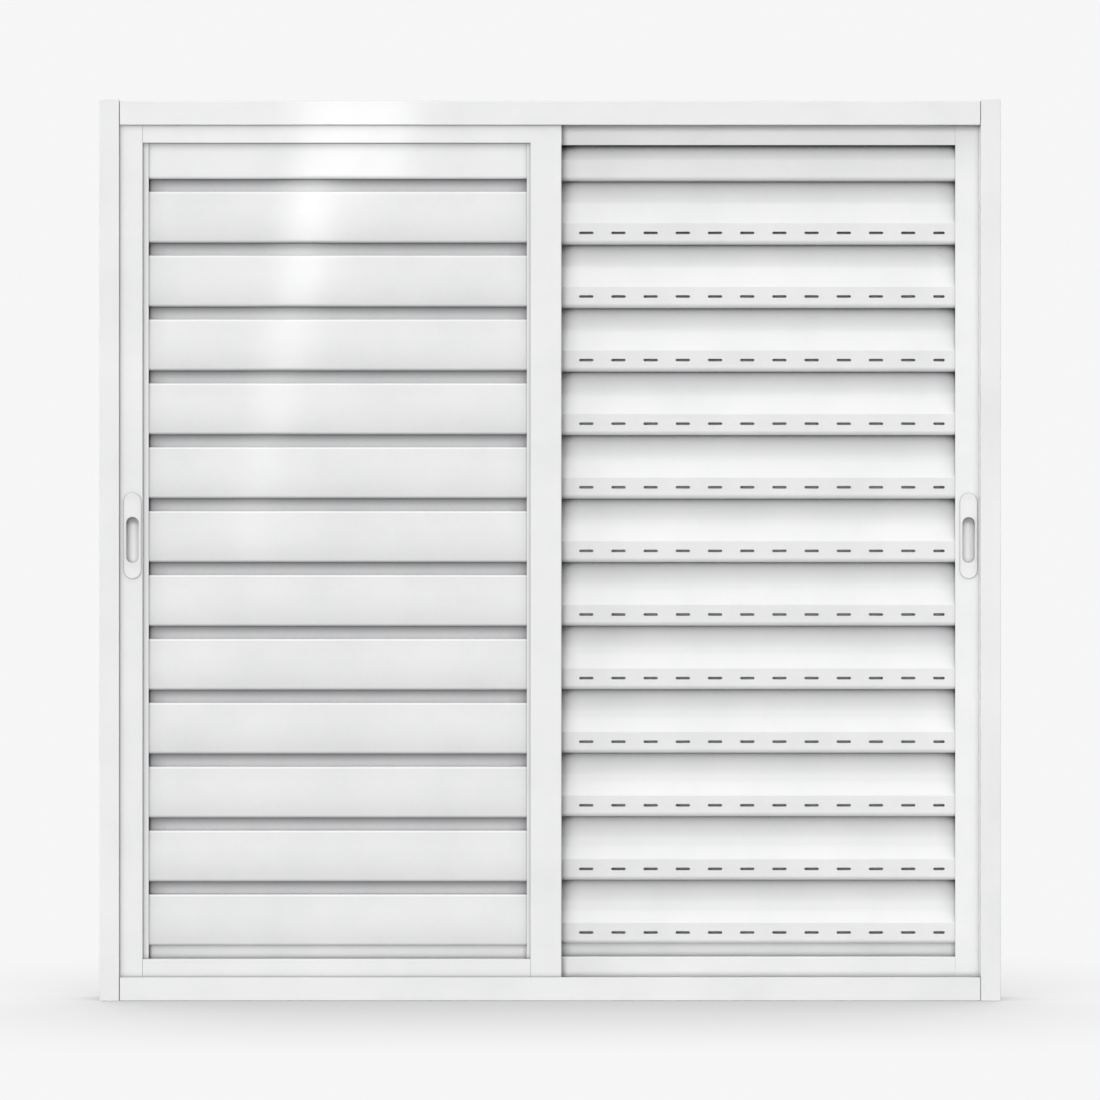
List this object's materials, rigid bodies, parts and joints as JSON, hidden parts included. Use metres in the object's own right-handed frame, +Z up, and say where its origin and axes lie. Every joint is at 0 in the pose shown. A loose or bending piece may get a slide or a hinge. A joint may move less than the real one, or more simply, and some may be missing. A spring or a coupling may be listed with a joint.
{
  "type": "louvred sliding window",
  "caption": "White louvred sliding window: a leaf of plain slats and a leaf of slotted slats run on their own tracks in one frame, with flush finger pulls.",
  "frame": {"origin": "under the middle of the frame, at mid depth and at the level of the jambs' lower ends", "axes": "+Z up, the front with the flush pulls faces -Y, +X to the viewer's right"},
  "size_m": [1.2, 0.055, 1.2],
  "materials": {
    "white_coat": "gloss",
    "white_plastic": "gloss",
    "nylon": "satin",
    "steel": "satin",
    "rubber": "matte",
    "pile": "matte"
  },
  "bodies": {
    "frame": {"head": "white_coat", "sill": "white_coat", "left_jamb": "white_coat", "right_jamb": "white_coat", "left_pocket_cover": "white_coat", "right_pocket_cover": "white_coat", "frame_screws": "steel", "jamb_bumpers": "rubber", "jamb_seals": "pile", "opening_stops": "nylon"},
    "front_leaf": {"front_outer_stile": "white_coat", "front_meeting_stile": "white_coat", "front_top_rail": "white_coat", "front_bottom_rail": "white_coat", "front_top_slat": "white_coat", "front_interlock": "white_coat", "front_pull": "white_plastic", "front_top_guides": "nylon", "front_leaf_screws": "steel", "front_roller_housings": "steel", "front_roller_pins": "steel", "front_slat_1": "white_coat", "front_slat_2": "white_coat", "front_slat_3": "white_coat", "front_slat_4": "white_coat", "front_slat_5": "white_coat", "front_slat_6": "white_coat", "front_slat_7": "white_coat", "front_slat_8": "white_coat", "front_slat_9": "white_coat", "front_slat_10": "white_coat", "front_slat_11": "white_coat", "front_slat_12": "white_coat"},
    "rear_leaf": {"rear_outer_stile": "white_coat", "rear_meeting_stile": "white_coat", "rear_top_rail": "white_coat", "rear_bottom_rail": "white_coat", "rear_top_slat": "white_coat", "rear_interlock": "white_coat", "rear_pull": "white_plastic", "rear_top_guides": "nylon", "rear_leaf_screws": "steel", "rear_roller_housings": "steel", "rear_roller_pins": "steel", "rear_slat_1": "white_coat", "rear_slat_2": "white_coat", "rear_slat_3": "white_coat", "rear_slat_4": "white_coat", "rear_slat_5": "white_coat", "rear_slat_6": "white_coat", "rear_slat_7": "white_coat", "rear_slat_8": "white_coat", "rear_slat_9": "white_coat", "rear_slat_10": "white_coat", "rear_slat_11": "white_coat", "rear_slat_12": "white_coat"},
    "front_outer_roller": {"front_outer_roller": "nylon"},
    "front_inner_roller": {"front_inner_roller": "nylon"},
    "rear_outer_roller": {"rear_outer_roller": "nylon"},
    "rear_inner_roller": {"rear_inner_roller": "nylon"}
  },
  "joints": [
    {"name": "front_leaf_slide", "type": "slide", "parent": "frame", "child": "front_leaf", "axis": [1, 0, 0], "range_m": [0, 0.532]},
    {"name": "rear_leaf_slide", "type": "slide", "parent": "frame", "child": "rear_leaf", "axis": [-1, 0, 0], "range_m": [0, 0.532]},
    {"name": "front_outer_roller_spin", "type": "hinge", "parent": "front_leaf", "child": "front_outer_roller", "pos_m": [-0.473, -0.0135, 0.02625], "axis": [0, 1, 0], "range_deg": [0, 3820]},
    {"name": "front_inner_roller_spin", "type": "hinge", "parent": "front_leaf", "child": "front_inner_roller", "pos_m": [-0.1097, -0.0135, 0.02625], "axis": [0, 1, 0], "range_deg": [0, 3820]},
    {"name": "rear_outer_roller_spin", "type": "hinge", "parent": "rear_leaf", "child": "rear_outer_roller", "pos_m": [0.473, 0.0145, 0.02625], "axis": [0, -1, 0], "range_deg": [0, 3820]},
    {"name": "rear_inner_roller_spin", "type": "hinge", "parent": "rear_leaf", "child": "rear_inner_roller", "pos_m": [0.1097, 0.0145, 0.02625], "axis": [0, -1, 0], "range_deg": [0, 3820]}
  ],
  "couplings": [
    {"joint": "front_outer_roller_spin", "follows": "front_leaf_slide", "rad_per_m": 125},
    {"joint": "front_inner_roller_spin", "follows": "front_leaf_slide", "rad_per_m": 125},
    {"joint": "rear_outer_roller_spin", "follows": "rear_leaf_slide", "rad_per_m": 125},
    {"joint": "rear_inner_roller_spin", "follows": "rear_leaf_slide", "rad_per_m": 125}
  ]
}
